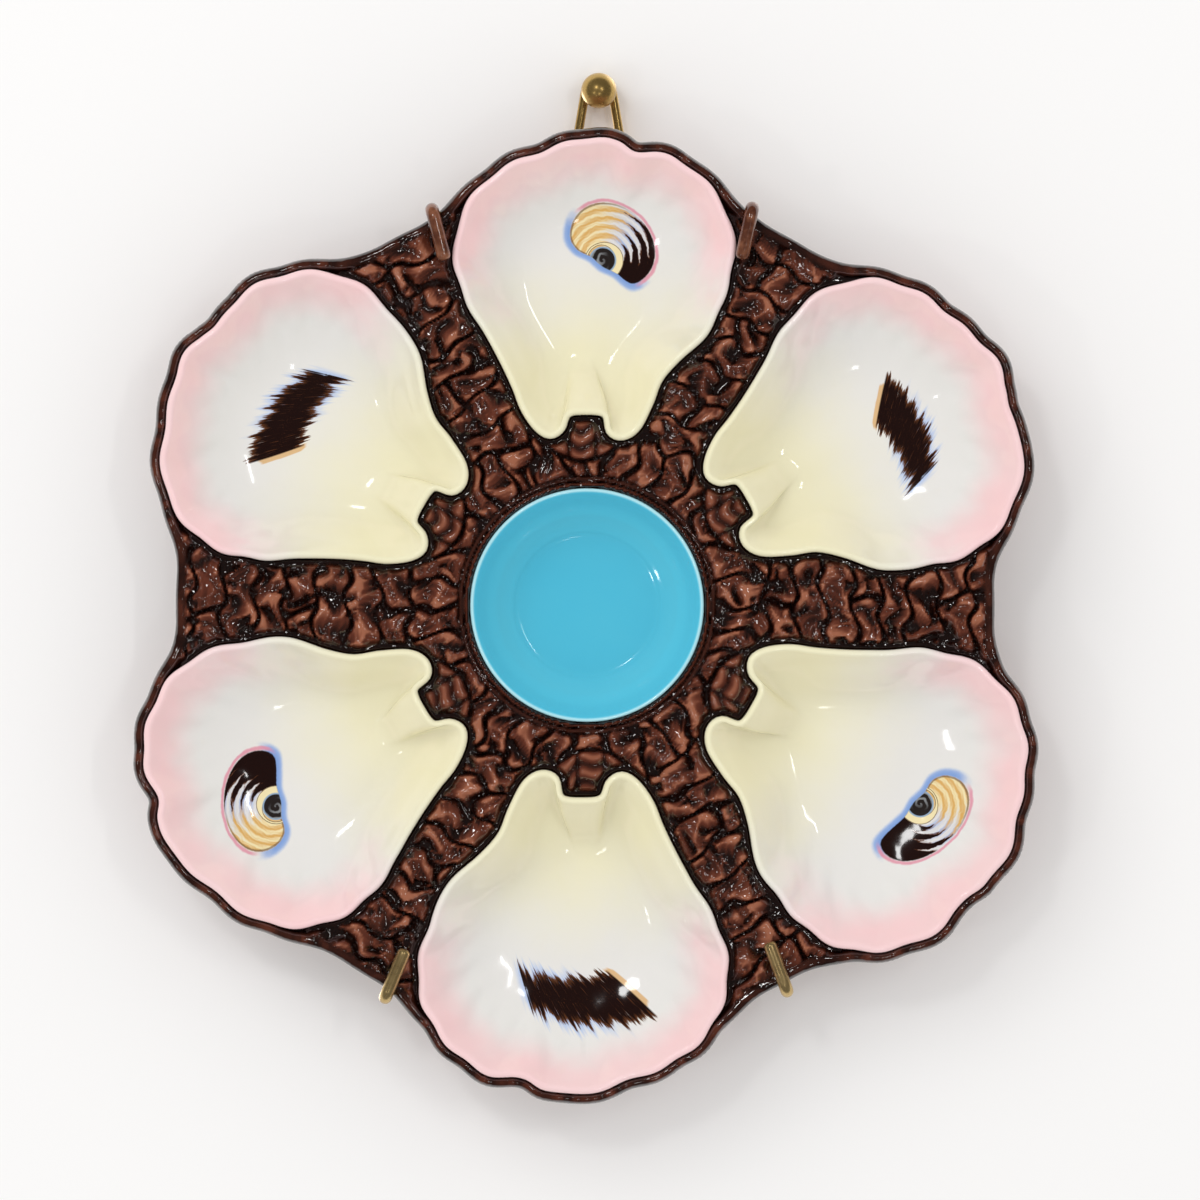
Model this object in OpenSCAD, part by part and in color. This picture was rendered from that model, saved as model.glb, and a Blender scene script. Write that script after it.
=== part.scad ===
/* [Wells] */
// Width of a shell-shaped oyster well across its widest part
well_w = 75.5; // [70:0.5:80]
// Length of a well along the radius of the plate
well_l = 79.5; // [75:0.5:84]
// Distance from the centre of the plate to the inner end of a well
well_start = 42.5; // [41:0.5:46]
// Depth of a well below the clay lip that runs round it
well_depth = 14; // [9:0.5:16]
// Height of the lip of a well above the ground of the plate
lip_h = 2.2; // [1.4:0.1:3]
// Width of the lip of a well
lip_w = 1.5; // [1:0.1:2]
// Width of the groove between the lip of a well and the roped border
lip_groove = 0.5; // [0.3:0.1:0.8]
/* [Sauce cup] */
// Diameter of the round sauce cup in the middle, inside its rim
cup_d = 59.6; // [50:0.2:64]
// Depth of the sauce cup below the ground of the plate
cup_depth = 13; // [8:0.5:15]
// Width of the raised ring round the sauce cup
cup_rim_w = 2.2; // [1.4:0.1:3]
/* [Clay body] */
// Thickness of the fired clay
clay_t = 4.6; // [3.6:0.1:5.4]
// Distance from the centre of the plate to its edge between two wells
spoke_reach = 105.5; // [103:0.5:108]
// Width of the roped border outside the wells
border_w = 3.8; // [3:0.1:4.6]
// Height of the roped border above the ground of the plate
border_h = 2; // [1:0.1:3]
// Radius of the curve where the edge turns from one well into a spoke
edge_fillet = 14; // [8:1:20]
// Diameter of the foot ring on the back
foot_d = 114; // [106:1:120]
// Width of the foot ring
foot_w = 4.6; // [3.6:0.2:6]
// Height of the foot ring below the undersides of the wells
foot_h = 6.4; // [5:0.2:9]
// Height of the pressed rockwork blocks above the ground of the plate
rock_h = 1.7; // [0.8:0.1:2.2]
/* [Glaze] */
// Thickness of the coloured glaze coats in the wells and the cup
glaze_t = 0.8; // [0.5:0.1:1.2]
/* [Hanger] */
// Diameter of the hanger wire
wire_d = 2.4; // [2:0.1:2.6]
// Distance from the wall to the near side of the hanger wire
wire_off = 3; // [2.8:0.1:3.4]
// Height from the centre of the plate to the peg
hang_drop = 132; // [126:1:140]
// Sideways distance of the peg from the middle of the plate
hang_side = 3; // [0:0.5:4]
// Distance between the two springs
spring_pitch = 46.6; // [40:0.2:52]
// Height of the upper ends of the springs above the centre of the plate
spring_rise = 25.5; // [22:0.5:28]
// Distance between the bends of the upper and lower wires that the springs join
spring_span = 48; // [46:1:54]
// Outer diameter of a spring
spring_d = 5.6; // [5:0.1:6]
// Diameter of the wire of a spring
spring_wire = 0.8; // [0.6:0.05:0.9]
// Number of turns of a spring
spring_turns = 16; // [12:1:20]
// Length of a hook over the front of the plate
hook_reach = 13.5; // [11:0.5:15]
// Diameter of the soft sleeves on the two upper hooks
upper_sleeve_d = 3.7; // [3.5:0.1:4]
// Diameter of the metal sleeves on the two lower hooks
lower_sleeve_d = 3.5; // [3.5:0.1:4]
/* [Wall peg] */
// Diameter of the ball head of the wall peg
ball_d = 9.1; // [8.4:0.1:10]
// Diameter of the shank of the wall peg in front of the wall
shank_d = 4.2; // [3.8:0.1:4.6]
// Diameter of the pin that goes into the wall
pin_d = 3.4; // [3:0.1:3.6]
// Length of the shank inside the wall
shank_in_wall = 22; // [15:1:30]
// Diameter of the collar against the wall
collar_d = 7.6; // [7:0.1:10]
// Thickness of the collar against the wall
collar_t = 2.4; // [1.6:0.1:2.6]
/* [Hidden] */

// Clearances: a glaze coat to its clay, a sleeve to its wire, a loop to what it hangs on,
// a hook to the edge it holds, the foot ring to the wires behind it
glaze_gap = 0.1;
sleeve_gap = 0.06;
loop_gap = 0.15;
hook_gap = 0.25;
foot_gap = 0.4;
ball_fit = 0.02;
overrun = 1;

// Heights above the wall
wire_z = wire_off + wire_d / 2;
foot_z = wire_off + wire_d + foot_gap;
well_back_z = foot_z + foot_h;
well_floor_z = well_back_z + clay_t;
lip_z = well_floor_z + well_depth;
ground_z = lip_z - lip_h;
spoke_back_z = ground_z - clay_t;
border_z = ground_z + border_h;
cup_rim_z = ground_z + border_h / 2;
hook_z = border_z + hook_gap + upper_sleeve_d / 2;
ball_z = wire_off + wire_d + loop_gap + ball_d / 2 - 0.12 * ball_d;

// Outline of a well, as shares of its width across and of its length outwards, clockwise from
// the point of the shell: the hinge end has two lobes with a notch between them
well_shares = [
    [0.00, 0.990], [0.11, 0.975], [0.18, 0.945], [0.31, 0.925], [0.425, 0.845],
    [0.50, 0.740], [0.525, 0.635], [0.51, 0.535], [0.47, 0.435], [0.42, 0.345],
    [0.325, 0.265], [0.26, 0.195], [0.225, 0.115], [0.18, 0.035], [0.13, 0.005],
    [0.085, 0.020], [0.065, 0.080], [-0.01, 0.090], [-0.07, 0.080], [-0.095, 0.030],
    [-0.135, 0.010], [-0.18, 0.035], [-0.225, 0.095], [-0.255, 0.165], [-0.295, 0.245],
    [-0.35, 0.340], [-0.43, 0.460], [-0.47, 0.580], [-0.46, 0.700], [-0.40, 0.810],
    [-0.30, 0.890], [-0.16, 0.945]];
// The shell's own centre, as a share of its length
well_centre_share = 0.46;
// Each well is pressed by hand: its share of the width, of the length, and of the width sideways
well_press_shares = [
    [0.93, 0.96, 0.00], [1.00, 0.99, -0.04], [1.05, 1.03, 0.02],
    [1.03, 1.03, 0.02], [0.99, 1.01, -0.02], [1.00, 0.98, 0.02]];
well_count = len(well_press_shares);
well_step = 360 / well_count;
// Section of a well from its lip to its centre: shares of the outline and of the depth
well_back_share = 0.97;
well_section_shares = [[0.93, 0.36], [0.80, 0.73], [0.55, 1]];

// Flats round a full circle of the clay
round_sides = 36;
// Section of the sauce cup from its rim to its centre: shares of the radius and of the depth
cup_section_shares = [[1, 0], [0.96, 0.45], [0.86, 0.8], [0.66, 1]];
cup_r = cup_d / 2;

// Rockwork: rows of blocks along each spoke, in two columns
rock_rows = 6;
rock_start = 0.47 * spoke_reach;
rock_end = 0.93 * spoke_reach;
rock_pitch = (rock_end - rock_start) / rock_rows;
rock_across = 0.078 * spoke_reach;
// The spokes lean a little from the middle between two wells
spoke_angle = 1.2;
// Blocks swept round the cup, three to a well, and one where each spoke begins
cup_rocks = 3 * well_count;
cup_rock_share = 1.24;
spoke_rock_share = 0.422;

// The press is uneven: reach of each spoke, clockwise from the upper right one
spoke_shares = [1.011, 0.982, 1.027, 1.04, 0.991, 0.999];

// Turn of each hook from the top of the plate, clockwise, and its lean from the vertical
upper_left_hook_angles = [-21.4, 14.4];
upper_right_hook_angles = [22.6, -11.8];
lower_right_hook_angles = [152.6, -20.4];
lower_left_hook_angles = [-152.8, 22.5];

function unit(v) = v / norm(v);
function last(list) = list[len(list) - 1];
function turn(p, a) = [p.x * cos(a) + p.y * sin(a), p.y * cos(a) - p.x * sin(a)];
function mean(points) = [for (k = [0 : len(points[0]) - 1])
    [for (p = points) p[k]] * [for (p = points) 1] / len(points)];
function every_other(list) = [for (k = [0 : 2 : len(list) - 1]) list[k]];

// Outline of well i, grown outwards by g, before the well is turned to its place
function well_centre(i) =
    [well_press_shares[i][2] * well_w, well_start + well_centre_share * well_l];
function well_base(i) = [for (s = well_shares)
    [(s[0] * well_press_shares[i][0] + well_press_shares[i][2]) * well_w,
     well_start + s[1] * well_press_shares[i][1] * well_l]];
function grown(points, g) = let (n = len(points)) [for (k = [0 : n - 1])
    let (d = unit(points[(k + 1) % n] - points[(k + n - 1) % n])) points[k] + g * [-d.y, d.x]];
function well_ring(i, g, share, z) = let (c = well_centre(i))
    [for (p = grown(well_base(i), g)) let (q = c + share * (p - c)) [q.x, q.y, z]];
// The rings of well i's hollow, or of the same form lowered by drop
function well_hollow(i, g, drop) =
    [for (s = well_section_shares) well_ring(i, g, s[0], lip_z - drop - s[1] * well_depth)];

// A closed skin over a stack of clockwise rings from the top down, with a fan at either end
module loft(rings) {
    n = len(rings[0]);
    m = len(rings);
    points = concat([for (r = rings) each r], [mean(rings[0]), mean(last(rings))]);
    sides = [for (j = [0 : m - 2], k = [0 : n - 1]) let (a = j * n + k, b = j * n + (k + 1) % n)
        each [[a, a + n, b + n], [a, b + n, b]]];
    ends = [for (k = [0 : n - 1])
        each [[n * m, k, (k + 1) % n],
              [n * m + 1, (m - 1) * n + (k + 1) % n, (m - 1) * n + k]]];
    polyhedron(points, concat(sides, ends), convexity = 8);
}

// Rings round a route, square to it, carried along it without twist
function along(route) = let (n = len(route)) [for (k = [0 : n - 1])
    unit(route[min(k + 1, n - 1)] - route[max(k - 1, 0)])];
function square_to(v, t) = unit(v - (v * t) * t);
function carried(tangents, v) = [for (k = 0, u = square_to(v, tangents[0]);
    k < len(tangents);
    k = k + 1, u = k < len(tangents) ? square_to(u, tangents[k]) : u) u];
function tube_rings(route, r, sides, v) = let (t = along(route), u = carried(t, v))
    [for (k = [0 : len(route) - 1]) let (w = cross(t[k], u[k]))
        [for (a = [0 : sides - 1]) let (f = 360 * a / sides)
            route[k] + r * (cos(f) * u[k] + sin(f) * w)]];

// Corners of a route rounded to a radius, each in a few steps
function corner(a, b, c, r, steps) = let (
    u = unit(a - b), w = unit(c - b), half = acos(max(-1, min(1, u * w))) / 2,
    reach = r / tan(half), axis = unit(u + w), centre = b + r / sin(half) * axis,
    p = b + reach * u - centre, q = b + reach * w - centre, sweep = 180 - 2 * half)
    [for (k = [0 : steps]) let (f = k / steps)
        centre + (sin((1 - f) * sweep) * p + sin(f * sweep) * q) / sin(sweep)];
function rounded(route, r, steps) = concat([route[0]],
    [for (k = [1 : len(route) - 2]) each corner(route[k - 1], route[k], route[k + 1], r, steps)],
    [last(route)]);

// Where the middle of a hook stands, clear of the edge by g: a ball of the edge's curve is rolled in
// along lines beside the hook's own, until it meets the spoke or the border of a well
function to_line(p, a, b) = let (t = (p - a) * (b - a) / ((b - a) * (b - a)))
    norm(p - a - max(0, min(1, t)) * (b - a));
function to_outline(p, points) = let (n = len(points))
    min([for (k = [0 : n - 1]) to_line(p, points[k], points[(k + 1) % n])]);
function to_plan(p, spoke) = min(norm(p) - spoke_reach * spoke_shares[spoke],
    to_outline(turn(p, -spoke * well_step), grown(well_base(spoke), border_w)),
    to_outline(turn(p, -(spoke + 1) * well_step),
        grown(well_base((spoke + 1) % well_count), border_w)));
function rolled_in(across, out, a, spoke, steps) = steps == 0 ? out :
    rolled_in(across, out - to_plan(turn([across, out], a), spoke) + edge_fillet, a, spoke, steps - 1);
function clear_of_edge(a, g) = let (
    spoke = floor((a + 360) % 360 / well_step), r = edge_fillet - g,
    start = 2 * (well_start + well_l))
    min([for (f = [-75 : 15 : 75])
        rolled_in(r * sin(f), start, a, spoke, roll_steps) - r * cos(f)]);
roll_steps = 14;

// The hanger's places, measured from the centre of the plate
peg_at = [hang_side, hang_drop];
spring_x = spring_pitch / 2;
left_x = hang_side - spring_x;
right_x = hang_side + spring_x;
lower_rise = spring_rise - spring_span;
wire_r = wire_d / 2;
bend_r = wire_d;
loop_r = shank_d / 2 + loop_gap + wire_r;
wire_sides = 8;
bend_steps = 6;

// A hook's foot outside the edge, the way it points over the front, and its route from
// behind the plate, outside the foot ring, to its tip
function hook_foot(hook, sleeve_d) =
    turn([0, clear_of_edge(hook[0], hook_gap + sleeve_d / 2)], hook[0]);
function hook_in(hook) = turn([0, -1], abs(hook[0]) > 90 ? 180 + hook[1] : -hook[1]);
function off_foot(from, hook, sleeve_d) = let (
    f = hook_foot(hook, sleeve_d), d = unit(f - from),
    b = from * d, reach = -b + sqrt(b * b - from * from + pow(foot_d / 2 + 2 * wire_d, 2)))
    [from.x + reach * d.x, from.y + reach * d.y, wire_z];
function hook_corners(hook, sleeve_d) = let (
    f = hook_foot(hook, sleeve_d), tip = f + (hook_reach - sleeve_d / 2) * hook_in(hook))
    [[f.x, f.y, spoke_back_z - 2 * wire_d], [f.x, f.y, hook_z], [tip.x, tip.y, hook_z]];
function reversed(list) = [for (k = [len(list) - 1 : -1 : 0]) list[k]];

// The corner between two runs of wire whose rounded bend passes through p
function deeper(p, b, a, c) = let (u = unit(a - b), w = unit(c - b), half = acos(u * w) / 2)
    p - (bend_r / sin(half) - bend_r) * unit(u + w);
function bend_through(p, a, c, b, steps = 12) =
    steps == 0 ? b : bend_through(p, a, c, deeper(p, b, a, c), steps - 1);

// Corners of each wire from its hook's tip inwards, on one side of the plate
function wire_side(bend, next, hook, sleeve_d) = let (
    off = off_foot([bend.x, bend.y], hook, sleeve_d))
    concat(reversed(hook_corners(hook, sleeve_d)), [off, bend_through(bend, off, next, bend)]);
function upper_side(side, hook) = let (
    bend = [hang_side + side * spring_x, spring_rise, wire_z],
    lean = atan((spring_x - loop_r) / (hang_drop - spring_rise)),
    loop = [peg_at.x + side * loop_r * cos(lean), peg_at.y + loop_r * sin(lean), wire_z])
    concat(rounded(concat(wire_side(bend, loop, hook, upper_sleeve_d), [loop]),
            bend_r, bend_steps),
        [for (k = [1 : 2 * bend_steps]) let (f = lean + (90 - lean) * k / (2 * bend_steps))
            [peg_at.x + side * loop_r * cos(f), peg_at.y + loop_r * sin(f), wire_z]]);
function lower_corners(side, hook) = wire_side([hang_side + side * spring_x, lower_rise, wire_z],
    lower_middle, hook, lower_sleeve_d);
lower_middle = [hang_side, lower_rise - 0.55 * spring_span, wire_z];
function hook_route(hook, sleeve_d) =
    rounded(hook_corners(hook, sleeve_d), bend_r, bend_steps);

module stand() translate([-hang_side, 0, -hang_drop]) rotate([90, 0, 0]) children();
module hung_tube(route, r) stand() loft(tube_rings(route, r, wire_sides, [0, 0, 1]));

// Plan of the whole plate: six shells and the rock between them
module plate_plan(grow) offset(delta = grow) offset(r = -edge_fillet, $fn = round_sides)
    offset(delta = edge_fillet) union() {
        polygon([for (k = [0.5 : 2 * round_sides]) let (a = 180 * k / round_sides)
            spoke_reach * spoke_shares[floor(a / well_step)] * [sin(a), cos(a)]]);
        for (i = [0 : well_count - 1])
            rotate(-i * well_step) polygon(grown(well_base(i), border_w));
    }

// One rockwork block: a low pillow with six uneven corners and a smaller, crumpled top
function uneven(w, l, z, dip, seed) = [for (k = [0 : 5]) let (
    a = 60 * k + 12 * sin(seed + 97 * k), s = 0.5 + 0.05 * sin(seed + 151 * k))
    [s * w * sin(a), s * l * cos(a), z - dip * (1 + sin(seed + 211 * k))]];
module rock(w, l, seed) hull() loft(
    [uneven(w, l, 0, 0, seed), uneven(0.66 * w, 0.64 * l, rock_h, 0.16 * rock_h, seed + 40)]);

module spoke_rock() for (row = [0 : rock_rows - 1], side = [-1, 1]) {
    // Blocks sit a little askew, by a rule that repeats from spoke to spoke
    skew = 5 * sin(137 * row + 80 * side);
    wide = row == rock_rows - 1 ? 1.25 : 1;
    translate([side * 0.56 * wide * rock_across,
            rock_start + (row + 0.5 + 0.06 * side) * rock_pitch, ground_z])
        rotate(skew) rock(1.02 * wide * rock_across, 0.94 * rock_pitch, 53 * row + 29 * side);
}
module cup_rock() {
    for (k = [0 : cup_rocks - 1]) rotate(-(k + 0.5) * 360 / cup_rocks)
        translate([0, cup_rock_share * cup_r, ground_z])
            rotate(6 * sin(73 * k)) rock(0.37 * cup_r, 0.2 * cup_r, 61 * k);
    for (k = [0 : well_count - 1]) rotate(-(k + 0.5) * well_step - spoke_angle)
        translate([0, spoke_rock_share * spoke_reach, ground_z])
            rotate(8 * sin(67 * k)) rock(1.1 * rock_across, 0.9 * rock_pitch, 83 * k);
}

module cup_form(r, top, depth) rotate_extrude($fn = round_sides)
    polygon(concat([[0, top], [r, top]],
        [for (s = cup_section_shares) [s[0] * r, ground_z - s[1] * depth]],
        [[0, ground_z - depth]]));

// The plate: red clay pressed in a mould, with a dark brown glaze
module plate_body() color("#4a2118") stand() difference() {
    union() {
        difference() {
            translate([0, 0, spoke_back_z]) linear_extrude(border_z - spoke_back_z) plate_plan(0);
            translate([0, 0, ground_z]) linear_extrude(border_h + overrun)
                plate_plan(lip_w + lip_groove - border_w);
        }
        for (i = [0 : well_count - 1]) rotate(-i * well_step) {
            loft([for (r = concat([well_ring(i, clay_t, well_back_share, spoke_back_z + clay_t / 2)],
                well_hollow(i, clay_t, clay_t))) every_other(r)]);
            loft([for (z = [lip_z, ground_z, ground_z - lip_h / 2]) well_ring(i, lip_w, 1, z)]);
            rotate(-well_step / 2 - spoke_angle) spoke_rock();
        }
        cup_rock();
        translate([0, 0, -1.02 * clay_t]) cup_form(cup_r + clay_t, cup_rim_z, cup_depth);
        rotate_extrude($fn = round_sides) {
            polygon([[cup_r - cup_rim_w, ground_z - cup_rim_w],
                [cup_r + 1.3 * cup_rim_w, ground_z - cup_rim_w],
                [cup_r + 0.7 * cup_rim_w, cup_rim_z], [cup_r - cup_rim_w, cup_rim_z]]);
            polygon([[foot_d / 2 - foot_w, foot_z], [foot_d / 2, foot_z],
                [foot_d / 2 + foot_w / 2, spoke_back_z + clay_t / 2],
                [foot_d / 2 - foot_w, spoke_back_z + clay_t / 2]]);
        }
    }
    for (i = [0 : well_count - 1]) rotate(-i * well_step)
        loft(concat(
        [well_ring(i, 0, 1, lip_z + overrun), well_ring(i, 0, 1, lip_z)], well_hollow(i, 0, 0)));
    cup_form(cup_r, ground_z + overrun + border_h, cup_depth);
}

// Pink-white glaze of one well: a thin coat on the hollow that turns over the lip
module well_glaze(i) color("#f2d5d3") stand() rotate(-i * well_step) {
    under = concat([well_ring(i, lip_w - glaze_gap, 1, lip_z + glaze_gap),
            well_ring(i, -glaze_gap, 1, lip_z + glaze_gap)],
        [for (s = well_section_shares)
            well_ring(i, -glaze_gap, s[0], lip_z + glaze_gap - s[1] * well_depth)]);
    over = concat([well_ring(i, lip_w - glaze_t / 2, 1, lip_z + glaze_t),
            well_ring(i, -glaze_t - glaze_gap, 1, lip_z + 0.8 * glaze_t)],
        [for (s = well_section_shares)
            well_ring(i, -glaze_t - glaze_gap, s[0], lip_z + glaze_t - s[1] * well_depth)]);
    loft(concat(reversed(over), under));
}
module top_well_glaze() well_glaze(0);
module upper_right_well_glaze() well_glaze(1);
module lower_right_well_glaze() well_glaze(2);
module bottom_well_glaze() well_glaze(3);
module lower_left_well_glaze() well_glaze(4);
module upper_left_well_glaze() well_glaze(5);

// Turquoise glaze of the sauce cup
module cup_glaze() color("#4fc3dc") stand() difference() {
    cup_form(cup_r - 2 * glaze_gap, ground_z + border_h / 4, cup_depth - glaze_gap);
    cup_form(cup_r - 2 * glaze_gap - glaze_t, ground_z + overrun, cup_depth - glaze_gap - glaze_t);
}

// Upper wire of the spring hanger: one brass wire from hook to hook over the peg
module upper_hanger_wire() color("#b08a45") hung_tube(let (
    left = upper_side(-1, upper_left_hook_angles), right = upper_side(1, upper_right_hook_angles))
    concat(left, [for (k = [len(right) - 2 : -1 : 0]) right[k]]), wire_r);

// Lower wire of the spring hanger, from hook to hook with a shallow V between the springs
module lower_hanger_wire() color("#b08a45") hung_tube(rounded(concat(
    lower_corners(-1, lower_left_hook_angles), [lower_middle],
    reversed(lower_corners(1, lower_right_hook_angles))), bend_r, bend_steps), wire_r);

// A spring: an open helix between two eyes, each bent round the wire that it hangs on
coil_r = (spring_d - spring_wire) / 2;
eye_r = wire_r + spring_wire / 2 + 2 * loop_gap;
spring_lead = 2 * eye_r + spring_d;
rings_per_turn = 8;
spring_sides = 6;
coil_len = spring_span - 2 * spring_lead;
// An eye round the wire at height y, opening towards the coil on the side that way points to
function eye(x, y, way) = concat(
    [for (f = [250, 220, 180, 140, 100, 60, 20, -20])
        [x, y - way * eye_r * sin(f), wire_z + eye_r * cos(f)]],
    [[x, y + way * 1.2 * eye_r, wire_z + eye_r / 3], [x, y + way * 2 * eye_r, wire_z]]);
function spring_route(x) = let (steps = spring_turns * rings_per_turn, low = lower_rise + spring_lead)
    concat(eye(x, lower_rise, 1),
        [for (k = [0 : steps]) let (a = 360 * k / rings_per_turn)
            [x + coil_r * sin(a), low + coil_len * k / steps, wire_z + coil_r * cos(a)]],
        reversed(eye(x, spring_rise, -1)));
// Least gap between turns of a spring, from points at least half a turn apart
function self_gap(route) = min([for (a = [0 : 3 : len(route) - 1], b = [a + 5 : len(route) - 1])
    norm(route[a] - route[b])]) - spring_wire;
echo(least_spring_gap = self_gap(spring_route(left_x)));
module spring(x) color("#9a9a98") stand()
    loft(tube_rings(spring_route(x), spring_wire / 2, spring_sides, [1, 0, 0]));
module left_spring() spring(left_x);
module right_spring() spring(right_x);

// The sleeves on the hooks, with a bore for the wire and a closed round tip
module sleeve(hook, d) stand() {
    route = hook_route(hook, d);
    body = [for (k = [1 : len(route) - 1]) route[k]];
    in = unit(last(route) - route[len(route) - 2]);
    start = body[0] - [0, 0, 0.4 * d];
    tip = last(route) + sleeve_gap * in;
    outer = concat([start], body, [tip + 0.26 * d * in, tip + 0.42 * d * in]);
    inner = concat([start], body, [tip]);
    bore_r = (wire_r + sleeve_gap) / cos(180 / wire_sides);
    out_rings = tube_rings(outer, d / 2, wire_sides, [1, 0, 0]);
    n = len(out_rings);
    caps = [for (p = out_rings[n - 1]) outer[n - 1] + 0.55 * (p - outer[n - 1])];
    loft(concat(reversed(tube_rings(inner, bore_r, wire_sides, [1, 0, 0])),
        [for (k = [0 : n - 2]) out_rings[k]], [caps]));
}
module upper_left_hook_sleeve() color("#8a5a3c") sleeve(upper_left_hook_angles, upper_sleeve_d);
module upper_right_hook_sleeve() color("#8a5a3c") sleeve(upper_right_hook_angles, upper_sleeve_d);
module lower_left_hook_sleeve() color("#c9a45c") sleeve(lower_left_hook_angles, lower_sleeve_d);
module lower_right_hook_sleeve() color("#c9a45c") sleeve(lower_right_hook_angles, lower_sleeve_d);

// The wall peg: a ball pressed on a shank that ends in a pin, with a collar against the wall
module on_peg(from, h, r) rotate([90, 0, 0]) translate([0, 0, from]) cylinder(h = h, r = r, $fn = 48);
module peg_shank() color("#b08a45") {
    on_peg(0, ball_z, shank_d / 2);
    on_peg(-shank_in_wall, shank_in_wall + collar_t, pin_d / 2);
}
module peg_ball() color("#c9a45c") difference() {
    rotate([90, 0, 0]) translate([0, 0, ball_z]) sphere(r = ball_d / 2, $fn = 48);
    on_peg(0, ball_z + ball_fit, shank_d / 2 + ball_fit);
}
module peg_collar() color("#b08a45") difference() {
    on_peg(0, collar_t, collar_d / 2);
    on_peg(-overrun, collar_t + 2 * overrun, shank_d / 2 + ball_fit);
}

plate_body();
cup_glaze();
top_well_glaze();
upper_right_well_glaze();
lower_right_well_glaze();
bottom_well_glaze();
lower_left_well_glaze();
upper_left_well_glaze();
upper_hanger_wire();
lower_hanger_wire();
left_spring();
right_spring();
upper_left_hook_sleeve();
upper_right_hook_sleeve();
lower_left_hook_sleeve();
lower_right_hook_sleeve();
peg_ball();
peg_shank();
peg_collar();
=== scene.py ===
import math
import bpy
import numpy as np
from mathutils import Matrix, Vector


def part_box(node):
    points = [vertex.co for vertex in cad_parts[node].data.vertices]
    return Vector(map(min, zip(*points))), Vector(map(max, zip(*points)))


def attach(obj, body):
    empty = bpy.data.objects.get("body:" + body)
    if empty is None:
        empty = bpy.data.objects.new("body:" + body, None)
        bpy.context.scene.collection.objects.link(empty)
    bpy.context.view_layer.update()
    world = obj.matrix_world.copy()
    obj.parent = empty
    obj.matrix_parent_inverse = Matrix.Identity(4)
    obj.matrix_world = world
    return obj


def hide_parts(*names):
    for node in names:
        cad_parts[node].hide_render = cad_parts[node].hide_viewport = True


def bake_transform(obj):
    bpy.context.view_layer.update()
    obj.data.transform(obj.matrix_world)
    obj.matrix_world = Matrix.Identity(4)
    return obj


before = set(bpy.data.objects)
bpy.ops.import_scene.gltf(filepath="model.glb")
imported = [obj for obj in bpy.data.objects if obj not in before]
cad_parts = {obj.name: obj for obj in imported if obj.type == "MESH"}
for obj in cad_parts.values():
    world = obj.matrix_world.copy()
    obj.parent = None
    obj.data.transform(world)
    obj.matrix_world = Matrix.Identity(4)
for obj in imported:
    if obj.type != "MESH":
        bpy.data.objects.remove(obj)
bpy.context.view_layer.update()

# The view: straight on at the height of the sauce cup, from two metres.
VIEW_DISTANCE = 2.0
VIEW_WIDTH = 0.3048
VIEW_MIDDLE = (0.0003, -0.1307)
RIM_Y = -0.029
camera = bpy.data.objects.new("camera", bpy.data.cameras.new("camera"))
bpy.context.scene.collection.objects.link(camera)
camera.location = (VIEW_MIDDLE[0], RIM_Y - VIEW_DISTANCE, VIEW_MIDDLE[1])
camera.rotation_euler = (math.radians(90), 0, 0)
camera.data.sensor_width = 36.0
camera.data.lens = 36.0 * VIEW_DISTANCE / VIEW_WIDTH
camera.data.clip_end = 20.0
bpy.context.scene.camera = camera
bpy.context.scene.view_settings.view_transform = "Standard"


# The wall that the peg is driven into, and the studio round it.
# White paint, lit by a soft box at the upper left and by two lamps from behind. Small lamps and one
# strip spark on the glaze, which mirrors little of the pale room.
class Part:
    """One number or colour of a material while it is being mixed."""

    def __init__(self, mix, socket):
        self.mix = mix
        self.socket = socket

    def _maths(self, operation, *values):
        return self.mix.node("ShaderNodeMath", {"operation": operation}, dict(enumerate(values)))

    def __add__(self, other):
        return self._maths("ADD", self, other)

    def __radd__(self, other):
        return self._maths("ADD", other, self)

    def __sub__(self, other):
        return self._maths("SUBTRACT", self, other)

    def __rsub__(self, other):
        return self._maths("SUBTRACT", other, self)

    def __mul__(self, other):
        return self._maths("MULTIPLY", self, other)

    def __rmul__(self, other):
        return self._maths("MULTIPLY", other, self)

    def __truediv__(self, other):
        return self._maths("DIVIDE", self, other)

    def root(self):
        return self._maths("SQRT", self)

    def size(self):
        return self._maths("ABSOLUTE", self)

    def wave(self):
        return self._maths("SINE", self)

    def cosine(self):
        return self._maths("COSINE", self)

    def larger(self, other):
        return self._maths("MAXIMUM", self, other)

    def smaller(self, other):
        return self._maths("MINIMUM", self, other)

    def smooth_larger(self, other, width):
        return self._maths("SMOOTH_MAX", self, other, width)

    def turn_to(self, other):
        return self._maths("ARCTAN2", self, other)

    def step(self, low, high):
        """0 below low, 1 above high and smooth between; or the other way round."""
        return self.mix.node(
            "ShaderNodeMapRange", {"interpolation_type": "SMOOTHSTEP"},
            {"Value": self, "From Min": low, "From Max": high, "To Min": 0.0, "To Max": 1.0},
        )


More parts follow.
